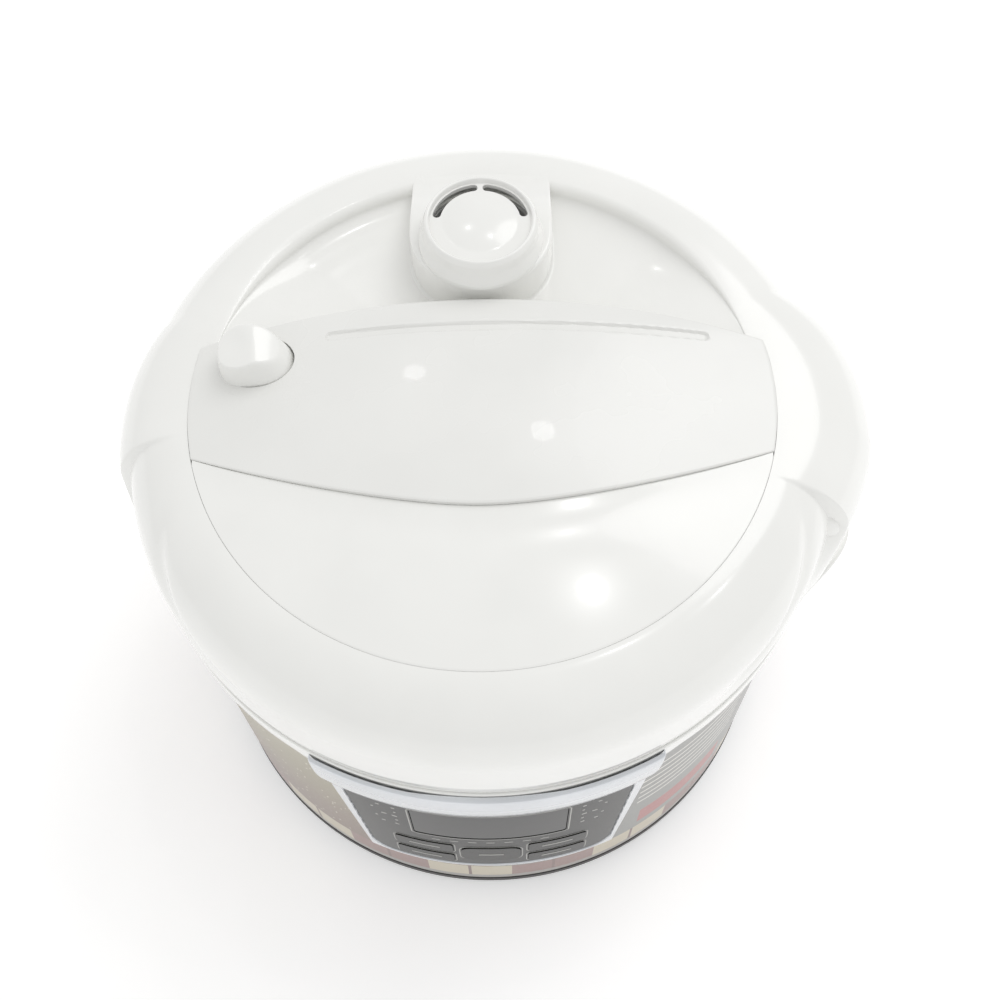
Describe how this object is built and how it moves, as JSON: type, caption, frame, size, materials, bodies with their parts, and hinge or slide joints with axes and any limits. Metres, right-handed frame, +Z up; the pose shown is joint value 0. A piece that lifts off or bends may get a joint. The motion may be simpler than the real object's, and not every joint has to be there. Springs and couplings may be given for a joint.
{
  "type": "electric pressure cooker",
  "caption": "Round electric pressure cooker with a twist-lock lid, steam cap, release button and a tapered front control panel.",
  "frame": {"origin": "on the pot's axis, at the standing face of the foot ring", "axes": "+Z up along the pot's axis, the control panel faces -Y, the release button is towards -X"},
  "size_m": [0.3305, 0.3264, 0.2854],
  "materials": {
    "white_plastic": "glossy",
    "bridge_plastic": "satin",
    "liner_plastic": "matt",
    "dark_plastic": "matt",
    "black_plastic": "matt",
    "silver_plastic": "satin",
    "panel_gloss": "glossy",
    "display": "glossy",
    "key_plastic": "satin",
    "film": "satin",
    "shell_steel": "satin",
    "steel": "satin",
    "aluminium": "satin",
    "pot": "satin",
    "brass": "satin",
    "silicone": "matt",
    "clear_plastic": "glossy",
    "board": "matt"
  },
  "bodies": {
    "base": {"foot_ring": "dark_plastic", "base_housing": "silver_plastic", "bottom_cover": "dark_plastic", "base_screws": "steel", "outer_shell": "shell_steel", "printed_film": "film", "trim_ring": "silver_plastic", "upper_ring": "white_plastic", "outer_pot": "steel", "heating_plate": "aluminium", "heating_element": "steel", "heater_support": "steel", "pressure_switch": "black_plastic", "thermal_cutout": "steel", "power_board": "board", "power_parts": "black_plastic", "sensor_spring": "steel", "control_housing": "silver_plastic", "panel_overlay": "panel_gloss", "display_window": "display", "control_board": "board", "display_module": "black_plastic", "key_switches": "black_plastic", "inlet_socket": "black_plastic", "inlet_pins": "brass", "drain_spout": "white_plastic", "cup_bracket": "white_plastic"},
    "pot": {"inner_pot": "pot"},
    "inner_lid": {"inner_lid_plate": "steel", "sealing_ring": "silicone", "inner_lid_grommet": "silicone"},
    "lid": {"lid_cover": "white_plastic", "lid_bridge": "bridge_plastic", "lid_front_panel": "white_plastic", "lid_liner": "liner_plastic", "pressure_lid": "steel", "lid_screws": "steel", "vent_tube": "steel", "vent_nut": "steel", "float_guide": "steel", "lever_pin": "steel", "button_spring": "steel"},
    "steam_cap": {"steam_cap": "white_plastic"},
    "release_button": {"release_button": "white_plastic"},
    "release_lever": {"release_lever": "black_plastic"},
    "weight_valve": {"weight_valve": "black_plastic"},
    "float_valve": {"float_pin": "steel", "float_seal": "silicone", "float_clip": "silicone"},
    "drip_cup": {"drip_cup": "clear_plastic"},
    "temperature_sensor": {"sensor_cap": "aluminium"},
    "key_upper_left": {"key_upper_left": "key_plastic"},
    "key_lower_left": {"key_lower_left": "key_plastic"},
    "key_upper_right": {"key_upper_right": "key_plastic"},
    "key_lower_right": {"key_lower_right": "key_plastic"},
    "key_start": {"key_start": "key_plastic"}
  },
  "joints": [
    {"name": "pot_lift", "type": "slide", "parent": "base", "child": "pot", "axis": [0, 0, 1], "range_m": [0, 0.15]},
    {"name": "lid_lift", "type": "slide", "parent": "pot", "child": "inner_lid", "axis": [0, 0, 1], "range_m": [0, 0.15]},
    {"name": "lid_turn", "type": "hinge", "parent": "inner_lid", "child": "lid", "pos_m": [0, 0, 0.2], "axis": [0, 0, 1], "range_deg": [0, 30]},
    {"name": "steam_cap_pull", "type": "slide", "parent": "lid", "child": "steam_cap", "axis": [0, 0, 1], "range_m": [0, 0.03]},
    {"name": "release_press", "type": "slide", "parent": "lid", "child": "release_button", "axis": [0, 0, -1], "range_m": [0, 0.003], "stiffness_N_per_m": 600, "springref_m": -0.003, "deforming": ["button_spring"]},
    {"name": "lever_rock", "type": "hinge", "parent": "lid", "child": "release_lever", "pos_m": [-0.05862, 0.04006, 0.2364], "axis": [0.5569, -0.8306, 0], "range_deg": [0, 3.9]},
    {"name": "weight_lift", "type": "slide", "parent": "lid", "child": "weight_valve", "axis": [0, 0, 1], "range_m": [0, 0.0043]},
    {"name": "float_rise", "type": "slide", "parent": "lid", "child": "float_valve", "axis": [0, 0, 1], "range_m": [0, 0.005]},
    {"name": "drip_cup_pull", "type": "slide", "parent": "base", "child": "drip_cup", "axis": [0, 1, 0], "range_m": [0, 0.04]},
    {"name": "sensor_press", "type": "slide", "parent": "base", "child": "temperature_sensor", "axis": [0, 0, -1], "range_m": [0, 0.0015], "stiffness_N_per_m": 400, "springref_m": -0.004, "deforming": ["sensor_spring"]},
    {"name": "key_upper_left_press", "type": "slide", "parent": "base", "child": "key_upper_left", "axis": [0.2079, 0.9781, 0], "range_m": [0, 0.001], "stiffness_N_per_m": 800, "springref_m": -0.001},
    {"name": "key_lower_left_press", "type": "slide", "parent": "base", "child": "key_lower_left", "axis": [0.2079, 0.9781, 0], "range_m": [0, 0.001], "stiffness_N_per_m": 800, "springref_m": -0.001},
    {"name": "key_upper_right_press", "type": "slide", "parent": "base", "child": "key_upper_right", "axis": [-0.2079, 0.9781, 0], "range_m": [0, 0.001], "stiffness_N_per_m": 800, "springref_m": -0.001},
    {"name": "key_lower_right_press", "type": "slide", "parent": "base", "child": "key_lower_right", "axis": [-0.2079, 0.9781, 0], "range_m": [0, 0.001], "stiffness_N_per_m": 800, "springref_m": -0.001},
    {"name": "key_start_press", "type": "slide", "parent": "base", "child": "key_start", "axis": [0, 1, 0], "range_m": [0, 0.001], "stiffness_N_per_m": 800, "springref_m": -0.001}
  ],
  "couplings": [
    {"joint": "lever_rock", "follows": "release_press", "rad_per_m": 22.222},
    {"joint": "weight_lift", "follows": "release_press", "ratio": 1.4}
  ]
}
